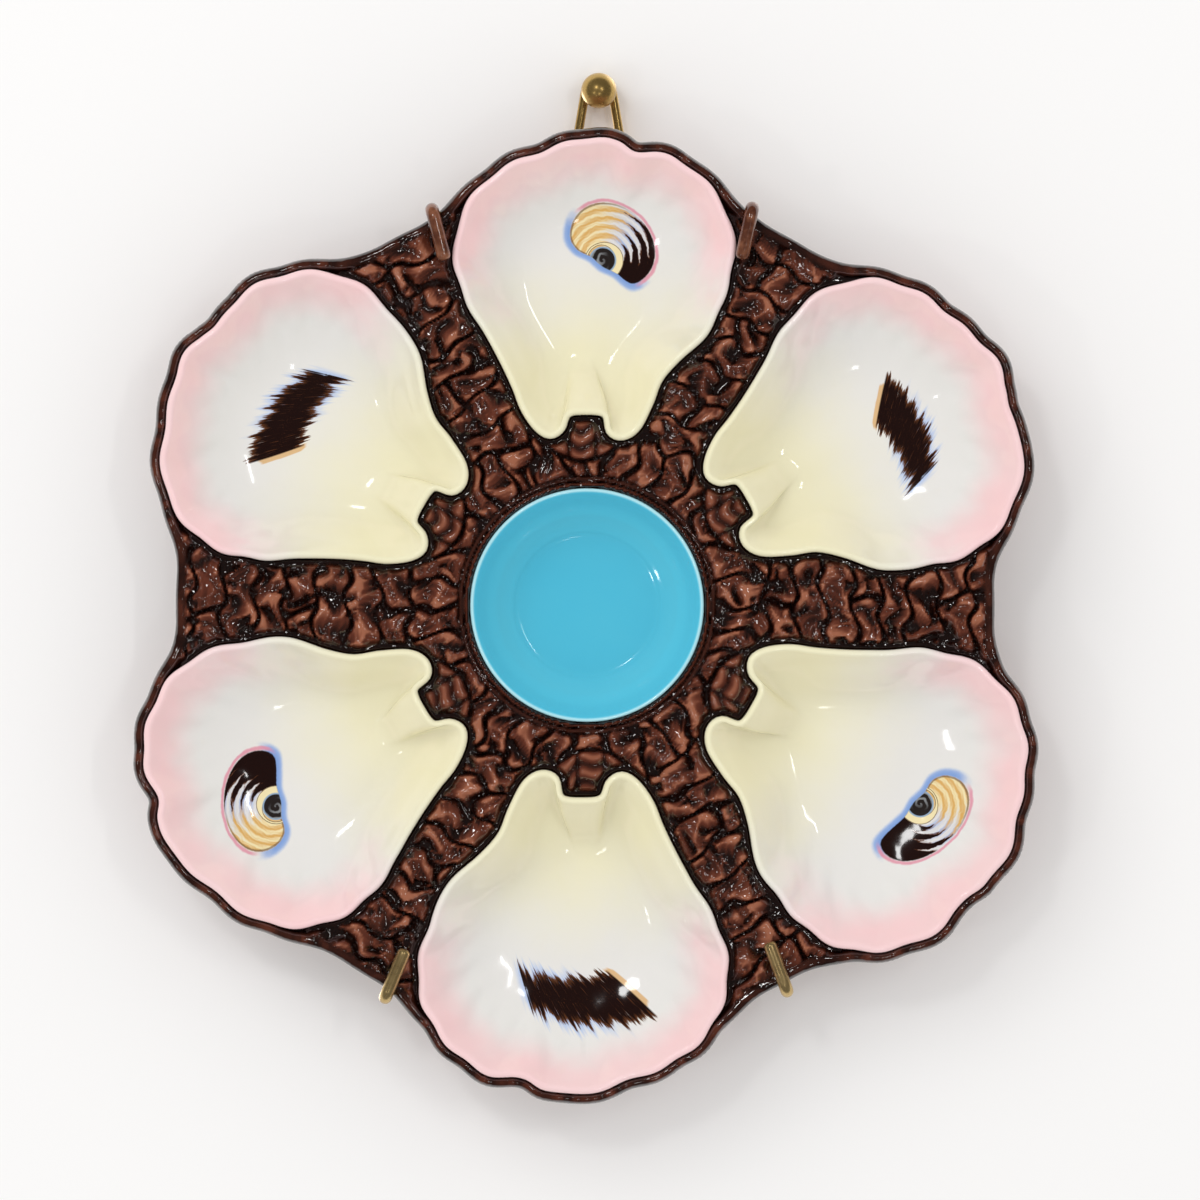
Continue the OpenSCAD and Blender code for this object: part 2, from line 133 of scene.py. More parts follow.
class Mix:
    """A material, mixed node by node."""

    def __init__(self, name):
        self.material = bpy.data.materials.new(name)
        self.material.use_nodes = True
        self.tree = self.material.node_tree
        self.shader = self.tree.nodes["Principled BSDF"]

    def put(self, socket, value):
        if isinstance(value, Part):
            self.tree.links.new(value.socket, socket)
        elif isinstance(value, tuple) and socket.type == "RGBA" and len(value) == 3:
            socket.default_value = (*value, 1.0)
        else:
            socket.default_value = value

    def node(self, kind, settings, inputs, output=0):
        made = self.tree.nodes.new(kind)
        for name, value in settings.items():
            setattr(made, name, value)
        for key, value in inputs.items():
            self.put(made.inputs[key], value)
        return Part(self, made.outputs[output])

    def blend(self, amount, first, second):
        made = self.tree.nodes.new("ShaderNodeMix")
        made.data_type = "RGBA"
        self.put(made.inputs[0], amount)
        self.put(made.inputs[6], first)
        self.put(made.inputs[7], second)
        return Part(self, made.outputs[2])

    def place(self):
        return self.node("ShaderNodeTexCoord", {}, {}, "Object")

    def across(self):
        """The place on the object as three numbers, in metres."""
        vector = self.place()
        return [self.node("ShaderNodeSeparateXYZ", {}, {"Vector": vector}, axis) for axis in "XYZ"]

    def noise(self, scale, detail=2.0, roughness=0.5, vector=None):
        inputs = {"Scale": scale, "Detail": detail, "Roughness": roughness,
                  "Vector": vector or self.place()}
        return self.node("ShaderNodeTexNoise", {}, inputs)

    def dents(self, scale):
        """Small hollows with sharp ridges between them."""
        inputs = {"Scale": scale, "Vector": self.place()}
        return self.node("ShaderNodeTexVoronoi", {"feature": "F1"}, inputs, "Distance")

    def mark(self, name):
        return self.node("ShaderNodeAttribute", {"attribute_name": name}, {}, "Fac")

    def bump(self, height, distance, strength=1.0):
        return self.node("ShaderNodeBump", {},
                         {"Height": height, "Distance": distance, "Strength": strength})

    def finish(self, **values):
        for name, value in values.items():
            self.put(self.shader.inputs[name.replace("_", " ")], value)
        return self.material


def only(*objects):
    """Selects these objects alone, the first one active."""
    bpy.ops.object.select_all(action="DESELECT")
    for each in objects:
        each.select_set(True)
    bpy.context.view_layer.objects.active = objects[0]


bpy.ops.object.select_all(action="DESELECT")
WALL_SIZE = 6.0
WALL_WHITE = (0.93, 0.925, 0.92)
bpy.ops.mesh.primitive_plane_add(
    size=WALL_SIZE, location=(0, 0, 0), rotation=(math.radians(90), 0, 0))
wall = bpy.context.object
wall.name = "wall"
bpy.ops.object.transform_apply(location=True, rotation=True, scale=True)
paint = Mix("wall_paint")
paint.finish(Base_Color=WALL_WHITE, Roughness=0.9)
paint.put(paint.shader.inputs["Specular IOR Level"], 0.0)
# From behind the wall lets the view through, so that the hanger shows.
seen_through = paint.node("ShaderNodeLightPath", {}, {}, "Is Shadow Ray").larger(
    paint.node("ShaderNodeNewGeometry", {}, {}, "Backfacing"))
clear = paint.tree.nodes.new("ShaderNodeBsdfTransparent")
joined = paint.tree.nodes.new("ShaderNodeMixShader")
paint.put(joined.inputs[0], seen_through)
paint.tree.links.new(paint.shader.outputs[0], joined.inputs[1])
paint.tree.links.new(clear.outputs[0], joined.inputs[2])
paint.tree.links.new(joined.outputs[0], paint.tree.nodes["Material Output"].inputs[0])
wall.data.materials.append(paint.material)

LAMPS = (
    # place, width, height, watts
    ((-1.20, -1.75, 1.10), 1.40, 1.40, 10.2),
    ((-0.62, -2.1, 0.72), 0.24, 0.24, 3.4),
    ((0.75, -2.0, 0.30), 0.05, 0.50, 2.4),
    ((0.20, -2.1, -0.95), 0.16, 0.16, 1.0),
    ((-0.95, -1.5, -0.55), 0.12, 0.12, 0.8),
    ((0.7, 1.1, 0.6), 0.8, 0.8, 20.0),
    ((-0.8, 1.2, -0.3), 0.5, 0.5, 12.0),
)
LAMP_AIM = np.array([0, RIM_Y, -0.13])
WIDEST_SPARK = 1.0
ROOM_WHITE = (1.0, 0.995, 0.99, 1.0)
ROOM_LEVEL = 0.80
ROOM_IN_GLAZE = 0.06
for place, width, height, watts in LAMPS:
    lamp = bpy.data.objects.new("lamp", bpy.data.lights.new("lamp", "AREA"))
    bpy.context.scene.collection.objects.link(lamp)
    lamp.data.shape = "RECTANGLE"
    lamp.data.size = width
    lamp.data.size_y = height
    lamp.data.energy = watts
    lamp.visible_glossy = width < WIDEST_SPARK
    lamp.location = place
    aim = LAMP_AIM - np.array(place)
    lamp.rotation_euler = (math.atan2(math.hypot(aim[0], aim[1]), -aim[2]), 0,
                           math.atan2(aim[1], aim[0]) - math.radians(90))
world = bpy.data.worlds.new("studio")
bpy.context.scene.world = world
world.use_nodes = True
room = world.node_tree.nodes["Background"]
room.inputs["Color"].default_value = ROOM_WHITE
ray = world.node_tree.nodes.new("ShaderNodeLightPath")
level = world.node_tree.nodes.new("ShaderNodeMapRange")
level.inputs["To Min"].default_value = ROOM_LEVEL
level.inputs["To Max"].default_value = ROOM_IN_GLAZE
world.node_tree.links.new(ray.outputs["Is Glossy Ray"], level.inputs["Value"])
world.node_tree.links.new(level.outputs[0], room.inputs["Strength"])

# The six shell wells: white earthenware glaze over the clay, pink round the outer rim and yellow
# at the hinge end, where two lobes stand either side of a notch. Each was pressed and touched up
# by hand, so no two are quite alike, and each carries a painted eye or brush mark.
MM = 0.001
HANG_SIDE = 3.0
HANG_DROP = 132.0
WELL_W = 75.5
WELL_L = 79.5
WELL_START = 42.5
WELL_DEPTH = 14.0
GROUND_Z = 28.6
LIP_Z = 30.8
COAT = 0.8
# The shell's outline, as shares of its width from its middle line and of its length from the hinge.
WELL_SHARES = np.array([
    (0.00, 0.990), (0.11, 0.975), (0.18, 0.945), (0.31, 0.925), (0.425, 0.845),
    (0.50, 0.740), (0.525, 0.635), (0.51, 0.535), (0.47, 0.435), (0.42, 0.345),
    (0.325, 0.265), (0.26, 0.195), (0.225, 0.115), (0.18, 0.035), (0.13, 0.005),
    (0.085, 0.020), (0.065, 0.080), (-0.01, 0.090), (-0.07, 0.080), (-0.095, 0.030),
    (-0.135, 0.010), (-0.18, 0.035), (-0.225, 0.095), (-0.255, 0.165), (-0.295, 0.245),
    (-0.35, 0.340), (-0.43, 0.460), (-0.47, 0.580), (-0.46, 0.700), (-0.40, 0.810),
    (-0.30, 0.890), (-0.16, 0.945)])
# How each pressing came out: wider, longer, and shifted sideways by a share of the width.
WELL_PRESS = ((0.93, 0.96, 0.00), (1.00, 0.99, -0.04), (1.05, 1.03, 0.02),
              (1.03, 1.03, 0.02), (0.99, 1.01, -0.02), (1.00, 0.98, 0.02))
WELL_NAMES = ("top", "upper_right", "lower_right", "bottom", "lower_left", "upper_left")
CENTRE_SHARE = 0.46
OUTLINE_STEPS = 256
LOBE_LENGTH = 13.5
LOBE_HALF_RISE = 0.7125
FLOOR_SHARE = 0.47
MERGE = 0.00001


def eased(value, low, high):
    """0 below low, 1 above high and smooth between; or the other way round."""
    t = np.clip((value - low) / (high - low), 0, 1)
    return t * t * (3 - 2 * t)


def through(points, steps):
    """An even closed curve through the points."""
    fine = []
    count = len(points)
    for k in range(count):
        a, b, c, d = (points[(k + j - 1) % count] for j in range(4))
        for f in np.arange(16) / 16:
            fine.append(0.5 * (2 * b + (c - a) * f + (2 * a - 5 * b + 4 * c - d) * f ** 2
                               + (3 * b - a - 3 * c + d) * f ** 3))
    fine = np.array(fine + fine[:1])
    run = np.concatenate([[0], np.cumsum(np.linalg.norm(np.diff(fine, axis=0), axis=1))])
    even = np.linspace(0, run[-1], steps, endpoint=False)
    return np.column_stack([np.interp(even, run, fine[:, k]) for k in (0, 1)]), run[-1]


def outward(points):
    """The outward normals of a clockwise closed curve."""
    along = np.roll(points, -1, 0) - np.roll(points, 1, 0)
    along /= np.linalg.norm(along, axis=1)[:, None]
    return np.column_stack([-along[:, 1], along[:, 0]])


def turned(points, degrees):
    """Points turned clockwise about the middle of the plate."""
    a = math.radians(degrees)
    x, y = points[..., 0], points[..., 1]
    return np.stack([x * math.cos(a) + y * math.sin(a), y * math.cos(a) - x * math.sin(a)], -1)


def hung(points):
    """Millimetres right, up and out from the plate's middle at the wall, to the object's frame."""
    return np.column_stack([points[:, 0] - HANG_SIDE, -points[:, 2], points[:, 1] - HANG_DROP]) * MM


def moved(mesh_object, points):
    """Moves the vertices of a mesh."""
    mesh_object.data.vertices.foreach_set("co", np.asarray(points, np.float32).ravel())
    mesh_object.data.update()


def marked(mesh_object, name, values):
    """Writes a value on each vertex, for the material."""
    layer = mesh_object.data.attributes.new(name, "FLOAT", "POINT")
    layer.data.foreach_set("value", np.asarray(values, np.float32))


def mesh_work(mesh_object, *steps):
    """Runs edit-mode steps on all of one mesh."""
    only(mesh_object)
    bpy.ops.object.mode_set(mode="EDIT")
    bpy.ops.mesh.select_all(action="SELECT")
    for step in steps:
        step()
    bpy.ops.object.mode_set(mode="OBJECT")


def applied(mesh_object, kind, **settings):
    """Adds a modifier with its settings and applies it."""
    only(mesh_object)
    modifier = mesh_object.modifiers.new(kind.lower(), kind)
    for name, value in settings.items():
        setattr(modifier, name, value)
    bpy.ops.object.modifier_apply(modifier=modifier.name)


def ring_sheet(name, rings):
    """A sheet through closed rings of like length, its seam and pole still to be merged."""
    rows, steps = rings.shape[:2]
    bpy.ops.object.select_all(action="DESELECT")
    bpy.ops.mesh.primitive_grid_add(x_subdivisions=steps, y_subdivisions=rows - 1, size=1.0)
    sheet = bpy.context.object
    sheet.name = name
    closed = np.concatenate([rings, rings[:, :1]], axis=1)
    moved(sheet, hung(closed.reshape(-1, 3)))
    return sheet


def mended():
    """Closes the seam and the pole of a sheet and turns its faces outwards."""
    bpy.ops.mesh.remove_doubles(threshold=MERGE)
    bpy.ops.mesh.normals_make_consistent(inside=False)


class Shell:
    """The outline of one well, lobed where the shell's edge flutes."""

    def __init__(self, index):
        wide, long, aside = WELL_PRESS[index]
        base = np.column_stack([(WELL_SHARES[:, 0] * wide + aside) * WELL_W,
                                WELL_START + WELL_SHARES[:, 1] * long * WELL_L])
        curve, self.length = through(base, OUTLINE_STEPS)
        self.centre = np.array([aside * WELL_W, WELL_START + CENTRE_SHARE * WELL_L])
        self.run = np.arange(OUTLINE_STEPS) / OUTLINE_STEPS * self.length
        share = (curve[:, 1] - WELL_START) / WELL_L
        self.flute = eased(share, 0.30, 0.55)
        lobes = max(1, round(self.length / LOBE_LENGTH))
        self.phase = 2 * math.pi * lobes * self.run / self.length + 1.7 * index
        wander = 0.35 * np.sin(3 * 2 * math.pi * self.run / self.length + index)
        wave = -0.5 * np.cos(self.phase + 2 * wander) - 0.5
        self.curve = curve + outward(curve) * (wave * self.flute * LOBE_HALF_RISE)[:, None]
        self.angle = 60.0 * index

    def grown(self, by):
        return self.curve + outward(self.curve) * np.reshape(by, (-1, 1))


SHELLS = [Shell(index) for index in range(6)]
# The lip's rings, from under the border inwards: outside the outline, and above LIP_Z.
LIP_ROWS = ((1.1, -1.6), (1.1, -0.5), (0.95, 0.15), (0.62, 0.58), (0.15, 0.78), (-0.4, 0.75))


def well_rings(shell, index):
    """The rings of a well from under the border, over the lip and down to the floor."""
    rings = [np.column_stack([shell.grown(by), np.full(OUTLINE_STEPS, LIP_Z + up)])
             for by, up in LIP_ROWS]
    steps = 2 * math.pi * np.arange(OUTLINE_STEPS) / OUTLINE_STEPS
    round_form = np.column_stack([shell.centre[0] + FLOOR_SHARE * WELL_W * np.sin(steps),
                                  shell.centre[1] + FLOOR_SHARE * WELL_L * np.cos(steps)])
    edge = shell.grown(LIP_ROWS[-1][0])
    hinge = np.array([shell.centre[0], WELL_START - 6.0])
    for t in np.concatenate([np.linspace(0.015, 0.3, 22), np.linspace(0.325, 0.97, 30), [1.0]]):
        inner = eased(t, 0.12, 0.8)
        form = edge * (1 - inner) + round_form * inner
        flat = shell.centre + (1 - t) * (form - shell.centre)
        fall = 1 - (1 - min(1, t / 0.64)) ** 2.1
        away = flat - hinge
        fan = np.arctan2(away[:, 0], away[:, 1])
        reach = np.linalg.norm(away, axis=1)
        dimple = 0.30 * np.cos(shell.phase + 1.0) * shell.flute * math.exp(-((t - 0.13) / 0.06) ** 2)
        dimple += 0.22 * np.cos(1.5 * shell.phase + 2.0 + index) * shell.flute \
            * math.exp(-((t - 0.24) / 0.05) ** 2)
        ribs = 0.38 * np.cos(15 * fan + 0.6 * index) * eased(reach, 6, 22) * eased(reach, 66, 34) \
            * eased(t, 0.03, 0.14)
        swell = 0.35 * np.sin(0.11 * flat[:, 0] + index) * np.sin(0.13 * flat[:, 1] + 2 * index) \
            * eased(t, 0.3, 0.7)
        z = LIP_Z + LIP_ROWS[-1][1] - fall * (WELL_DEPTH - 0.2) \
            + dimple + ribs * (1 - 0.6 * fall) + swell
        rings.append(np.column_stack([flat, z]))
    stack = np.array(rings)
    stack[..., :2] = turned(stack[..., :2], shell.angle)
    return stack


# The painted marks, in millimetres from the middle of the plate before a well is turned.
# An eye: its place, the lean of its straight side, and the middle and half sizes of its shell.
# A brush mark: its middle and its size.
EYES = {0: ((4.0, 88.1), -42.0, (-0.8, 4.6), (11.8, 9.6)),
        2: ((1.4, 99.0), -18.0, (1.8, 3.3), (13.4, 8.5)),
        4: ((-4.8, 94.5), -30.0, (1.4, 4.2), (12.9, 9.0))}
BRUSHES = {1: ((3.4, 90.4), 0.93), 3: ((2.1, 98.0), 1.12), 5: ((5.5, 87.2), 1.0)}
PINK_REACH = 15.0
WHITE_GLAZE = (0.82, 0.81, 0.785)
PINK_GLAZE = (0.95, 0.64, 0.65)
YELLOW_GLAZE = (0.88, 0.83, 0.55)
INK_BROWN = (0.013, 0.004, 0.003)
DRY_BROWN = (0.16, 0.055, 0.018)
OCHRE = (0.72, 0.42, 0.13)
CREAM = (0.90, 0.78, 0.46)
SLATE_BLUE = (0.17, 0.33, 0.72)
PALE_BLUE = (0.34, 0.48, 0.78)
PALE_GREY = (0.72, 0.71, 0.72)
ROSE = (0.76, 0.28, 0.38)
FINE_SPECK = (0.80, 0.70, 0.55)
MILK = (0.90, 0.88, 0.84)
OUTLINE_BROWN = (0.13, 0.08, 0.06)
CRESCENT_EDGE = (0.24, 0.17, 0.10)
PUPIL_BLACK = (0.020, 0.015, 0.014)
PUPIL_GREY = (0.38, 0.40, 0.42)
PUPIL_RING = (0.30, 0.42, 0.56)
MIST_BLUE = (0.36, 0.52, 0.86)
GOLD_STROKE = (0.72, 0.43, 0.16)


def shell_paint(index):
    """Glaze colours of a well, with its painted mark."""
    mix = Mix(WELL_NAMES[index] + "_shell_glaze")
    turn = math.radians(60.0 * index)
    x, _, z = mix.across()
    right = (x + HANG_SIDE * MM) * 1000.0
    up = (z + HANG_DROP * MM) * 1000.0
    u = right * math.cos(turn) - up * math.sin(turn)
    v = right * math.sin(turn) + up * math.cos(turn)
    cloud = mix.noise(55.0, 3.0, 0.6)
    fine = mix.noise(260.0, 2.0)
    rim = mix.mark("rim") + (cloud - 0.5) * 0.35
    outer = (v + (cloud - 0.5) * 22.0).step(70.0, 94.0)
    pink = rim.step(0.16, 0.86) * outer * (0.72 + 0.5 * (cloud - 0.2))
    hinge = (v + (cloud - 0.5) * 16.0 + (u * u) * 0.006).step(96.0, 56.0)
    colour = mix.blend(hinge * 0.9, WHITE_GLAZE, YELLOW_GLAZE)
    colour = mix.blend(pink.smaller(1.0), colour, PINK_GLAZE)
    colour = mix.blend(fine.step(0.62, 0.8) * 0.06, colour, FINE_SPECK)
    if index in EYES:
        colour = eye_mark(mix, colour, u, v, *EYES[index])
    else:
        colour = brush_mark(mix, colour, u, v, *BRUSHES[index])
    mix.put(mix.shader.inputs["Specular IOR Level"], 0.4)
    return mix.finish(
        Base_Color=colour, Roughness=0.07 + 0.06 * cloud.step(0.3, 0.8),
        Coat_Weight=0.25, Coat_Roughness=0.03,
        Normal=mix.bump(mix.noise(420.0, 1.0), 0.00004, 0.5))


def eye_mark(mix, ground, u, v, at, lean, middle, half):
    """A traditional shell eye: growth rings swept round a dark eye, ochre to brown."""
    a = math.radians(lean)
    p = (u - at[0]) * math.cos(a) + (v - at[1]) * math.sin(a)
    q = (v - at[1]) * math.cos(a) - (u - at[0]) * math.sin(a)
    ragged = mix.noise(1500.0, 2.0) - 0.5
    soft_ragged = mix.noise(420.0, 2.0) - 0.5
    oval_p = (p - middle[0]) / half[0]
    oval_q = (q - middle[1]) / half[1]
    outside = ((oval_p * oval_p + oval_q * oval_q).root() - 1.0) * 9.5
    reach = (p * p + q * q).root()
    straight = 1.2 * p.step(0.5, 5.5) - q - 1.3 - 1.2 * p.step(-2.0, -7.0)
    out = outside.smooth_larger(straight, 2.6) + ragged * 0.2
    way = p.turn_to(q)
    ring = ((reach * (1.0 + (1.0 - way.cosine()) * 0.16) + soft_ragged * 0.4) * 2.75 - 0.6).wave()
    fine_ring = ((reach + soft_ragged * 1.8) * 7.3).wave()
    rings = mix.blend(ring.step(-0.9, 0.9), PALE_BLUE, PALE_GREY)
    rings = mix.blend(fine_ring.step(0.0, 1.0) * 0.3, rings, MILK)
    sand = mix.blend((ring + fine_ring * 0.5).step(-1.4, 1.5), OCHRE, CREAM)
    rings = mix.blend((way + ring * 0.30 + fine_ring * 0.10).step(0.05, -0.75), rings, sand)
    fingers = way * 1.25 - ring * 0.48 + fine_ring * 0.14 + ragged * 0.3 + (reach - 9.0) * 0.06
    rings = mix.blend((fingers - 0.50).step(-0.20, 0.14), rings, DRY_BROWN)
    rings = mix.blend((fingers - 0.66).step(-0.20, 0.10), rings, INK_BROWN)
    halo = out.step(2.0, 1.0) * (q - 1.0 + soft_ragged * 3.0).step(4.5, -0.5)
    colour = mix.blend(halo * 0.9, ground, mix.blend(out.step(0.2, 1.7), SLATE_BLUE, PALE_BLUE))
    rose = (outside - 0.45 + soft_ragged * 0.6).size().step(0.55, 0.15) * (q + p * 0.15).step(1.5, 5.0)
    colour = mix.blend(rose * 0.85, colour, ROSE)
    inside = out.step(0.15, -0.15)
    colour = mix.blend(inside, colour, rings)
    line = (out + 0.2).size().step(0.30, 0.10) * (way - 0.1).step(0.0, -0.9)
    colour = mix.blend(line * 0.7, colour, OUTLINE_BROWN)
    crescent = (reach - 4.2).size() - 0.75 * way.step(-1.1, 0.7) * way.step(2.15, 1.7) + ragged * 0.15
    colour = mix.blend(inside * crescent.step(0.42, 0.26), colour, CRESCENT_EDGE)
    colour = mix.blend(inside * crescent.step(0.22, 0.08), colour, CREAM)
    whorl = ((reach + soft_ragged * 1.5 - way * 0.24) * 4.2).wave().step(-0.1, 1.0) \
        * (p + q).step(2.5, -2.0)
    pupil = mix.blend(whorl * 0.65, PUPIL_BLACK, PUPIL_GREY)
    colour = mix.blend(inside * reach.step(3.6, 3.35), colour, PUPIL_RING)
    return mix.blend(inside * reach.step(3.2, 3.0), colour, pupil)


def brush_mark(mix, ground, u, v, at, size):
    """A row of short brush strokes that fan from one point, with one ochre stroke before them."""
    p = (u - at[0] - 16.9 * size) / size
    q = (v - at[1] + 20.6 * size) / size
    reach = (p * p + q * q).root()
    fan = q.turn_to(p) * (180.0 / math.pi)
    curl = fan + (reach - 28.0) * (fan - 124.0) * 0.008
    middle = 28.6 + (fan - 125.0) * 0.36
    along = reach - middle
    hair = mix.node("ShaderNodeCombineXYZ", {},
                    {"X": curl * 0.95, "Y": along * 0.05, "Z": along.step(-1, 1)})
    tips = mix.noise(1.0, 3.0, 0.75, hair) - 0.5
    clump = mix.noise(0.28, 2.0, 0.5, hair) - 0.5
    half = 6.6 + (fan - 125.0) * 0.07 + tips * 8.5 + clump * 10.0
    ends = curl + clump * 8.0
    sides = (ends + tips * 3.0).step(104.0, 104.8) * (curl + tips * 0.6).step(145.3, 144.6)
    spill = along.size() - half
    mist = (spill - 1.2 + (1.0 - curl.step(98.0, 110.0)) * 3.0).step(2.0, -1.6) \
        * curl.step(99.0, 104.0) * curl.step(140.0, 122.0)
    colour = mix.blend(mist * 0.75, ground, MIST_BLUE)
    gold_half = (along + 0.8).size() + clump * 6.0
    gold = gold_half.step(6.8, 5.6) * (curl - 145.4 + clump * 1.5).size().step(1.9, 1.3)
    colour = mix.blend(gold * 0.85, colour, GOLD_STROKE)
    frayed = mix.noise(2.6, 2.0, 0.7, hair)
    body = spill.step(0.35, -0.35) * sides
    dry = (spill + 2.2).step(0.0, 2.4) * 0.8 + frayed.step(0.60, 0.72) * 0.5
    inked = mix.blend(dry.smaller(1.0), INK_BROWN, DRY_BROWN)
    gaps = frayed.step(0.66, 0.74) * (spill + 4.2).step(0.0, 2.5)
    return mix.blend(body * (1.0 - gaps * 0.75), colour, inked)


well_points = []
for index, shell in enumerate(SHELLS):
    rings = well_rings(shell, index)
    well_points.append(rings[len(LIP_ROWS):, ::2].reshape(-1, 3))
    well = ring_sheet(WELL_NAMES[index] + "_well", rings)
    flat = turned(rings[..., :2], -shell.angle)
    closed = np.concatenate([flat, flat[:, :1]], axis=1).reshape(-1, 2)
    gap = np.linalg.norm(closed[:, None, :] - shell.curve[None, ::2, :], axis=2).min(1)
    marked(well, "rim", 1 - np.clip(gap / PINK_REACH, 0, 1))
    mesh_work(well, mended)
    applied(well, "SOLIDIFY", thickness=COAT * MM, offset=-1.0, use_even_offset=False)
    only(well)
    bpy.ops.object.shade_smooth()
    well.data.materials.append(shell_paint(index))
    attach(well, "hanger")
    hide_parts(WELL_NAMES[index] + "_well_glaze")

# The sauce cup: a turned hollow with a turquoise glaze that thins to a pale line at its edge.
# Its wall curves down to a flat floor that is set off by a faint step.
CUP_R = 29.8
CUP_STEPS = 144
CUP_POOL = (0.085, 0.530, 0.72)
CUP_WALL = (0.112, 0.600, 0.79)
CUP_CLOUD = (0.13, 0.60, 0.74)
CUP_EDGE = (0.45, 0.80, 0.88)


def circle(radius, z, steps=CUP_STEPS):
    """A level ring of points round the plate's middle."""
    a = 2 * math.pi * np.arange(steps) / steps
    return np.column_stack([radius * np.sin(a), radius * np.cos(a), np.full(steps, z)])


def turned_form(name, profile, steps=CUP_STEPS):
    """A form turned about the plate's middle from its radii and heights."""
    return ring_sheet(name, np.array([circle(r, z, steps) for r, z in profile]))


def rounded_profile(points, between=5):
    """More points along a profile, on an even curve through those given."""
    points = np.array(points, float)
    padded = np.vstack([2 * points[0] - points[1], points, 2 * points[-1] - points[-2]])
    fine = []
    for a, b, c, d in zip(padded, padded[1:], padded[2:], padded[3:]):
        for f in np.arange(between) / between:
            fine.append(0.5 * (2 * b + (c - a) * f + (2 * a - 5 * b + 4 * c - d) * f ** 2
                               + (3 * b - a - 3 * c + d) * f ** 3))
    return np.vstack([fine, points[-1:]])


CUP_PROFILE = ((29.75, 28.3), (29.55, 28.95), (29.1, 29.15), (28.6, 28.75), (28.05, 27.4),
               (27.1, 24.9), (25.4, 21.9), (23.0, 19.4), (20.6, 17.9), (19.0, 17.3),
               (18.1, 16.85), (16.5, 16.62), (10.0, 16.45), (4.0, 16.4))
cup_path = np.vstack([rounded_profile(CUP_PROFILE), [0.0, 16.4]])
cup = turned_form("sauce_cup", cup_path)
marked(cup, "edge", np.repeat(eased(cup_path[:, 0], 28.55, 29.15), CUP_STEPS + 1))
mesh_work(cup, mended)
applied(cup, "SOLIDIFY", thickness=COAT * MM, offset=-1.0)
only(cup)
bpy.ops.object.shade_smooth()
turquoise = Mix("turquoise_glaze")
pool = turquoise.noise(38.0, 3.0, 0.6)
right, _, up = turquoise.across()
reach = (((right + HANG_SIDE * MM) * (right + HANG_SIDE * MM)
          + (up + HANG_DROP * MM) * (up + HANG_DROP * MM)).root()) * 1000.0
depth_tint = turquoise.blend(reach.step(24.0, 16.0), CUP_WALL, CUP_POOL)
depth_tint = turquoise.blend((pool - 0.35) * 0.5, depth_tint, CUP_CLOUD)
depth_tint = turquoise.blend(turquoise.mark("edge"), depth_tint, CUP_EDGE)
cup.data.materials.append(turquoise.finish(
    Base_Color=depth_tint, Roughness=0.08 + 0.06 * pool, Coat_Weight=0.5, Coat_Roughness=0.03,
    Normal=turquoise.bump(turquoise.noise(300.0, 2.0), 0.00005, 0.5)))
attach(cup, "hanger")
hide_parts("cup_glaze")

# The front of the clay plate: rockwork pressed from a mould, under a dark brown glaze that runs
# thin and red over the crumpled blocks and pools nearly black in the creases between them.
# A rounded border follows the edge, and a smooth band follows each shell.
BORDER_W = 3.8
SPOKE_REACH = 105.5
SPOKE_SHARES = (1.011, 0.982, 1.027, 1.04, 0.991, 0.999)
SPOKE_BACK_Z = 24.0
EDGE_BLEND = 8.7
SHEET_STEP = 0.52
SHEET_HALF = (119.0, 129.0)
LIP_OUT = 0.85
RING_IN = 29.3
ROCK_RISE = 2.75
ROCK_FLOOR_Z = GROUND_Z - 0.75
RIDGE_W = 2.95
CREASE_WIDTH = 1.9
CHIP_PITCH = 4.0
FAN_PITCH = 4.2
FAN_REACH = 12.6
chance = np.random.default_rng(7)


def shell_gap(points):
    """Distance outside the nearest shell's outline, and where along that outline it is."""
    gap = np.full(len(points), 60.0)
    run = np.zeros(len(points))
    for shell in SHELLS:
        local = turned(points, -shell.angle)
        near = np.where(np.linalg.norm(local - shell.centre, axis=1) < 64)[0]
        normals = outward(shell.curve)
        for some in np.array_split(near, max(1, len(near) // 6000)):
            if not len(some):
                continue
            away = local[some][:, None, :] - shell.curve[None]
            spans = (away ** 2).sum(2)
            k = spans.argmin(1)
            close = away[np.arange(len(some)), k]
            side = (close * normals[k]).sum(1)
            far = np.sign(side) * np.sqrt(spans[np.arange(len(some)), k])
            value = np.where(np.abs(far) < 1.5, side, far)
            better = value < gap[some]
            gap[some[better]] = value[better]
            run[some[better]] = shell.run[k[better]]
    return gap, run


def smooth_least(a, b, width):
    """The smaller of two distances, rounded where they cross."""
    near = np.maximum(width - np.abs(a - b), 0) / width
    return np.minimum(a, b) - near * near * width / 4


def edge_depth(points, gap):
    """Distance inside the edge of the whole plate."""
    angle = np.degrees(np.arctan2(points[:, 0], points[:, 1])) % 360
    reach = SPOKE_REACH * np.array(SPOKE_SHARES)[np.minimum(5, (angle // 60).astype(int))]
    return -smooth_least(gap - BORDER_W, np.hypot(points[:, 0], points[:, 1]) - reach, EDGE_BLEND)


def sheet_depth(points):
    """How far inside the brown ground a point lies: outside the shells and the cup."""
    gap, run = shell_gap(points)
    edge = edge_depth(points, gap)
    radius = np.hypot(points[:, 0], points[:, 1])
    return np.minimum.reduce([edge, gap - LIP_OUT, radius - RING_IN]), gap, run, edge, radius


def hump(t):
    """A rounded ridge over t from 0 to 1."""
    return np.sqrt(np.clip(1 - (2 * t - 1) ** 2, 0, 1))


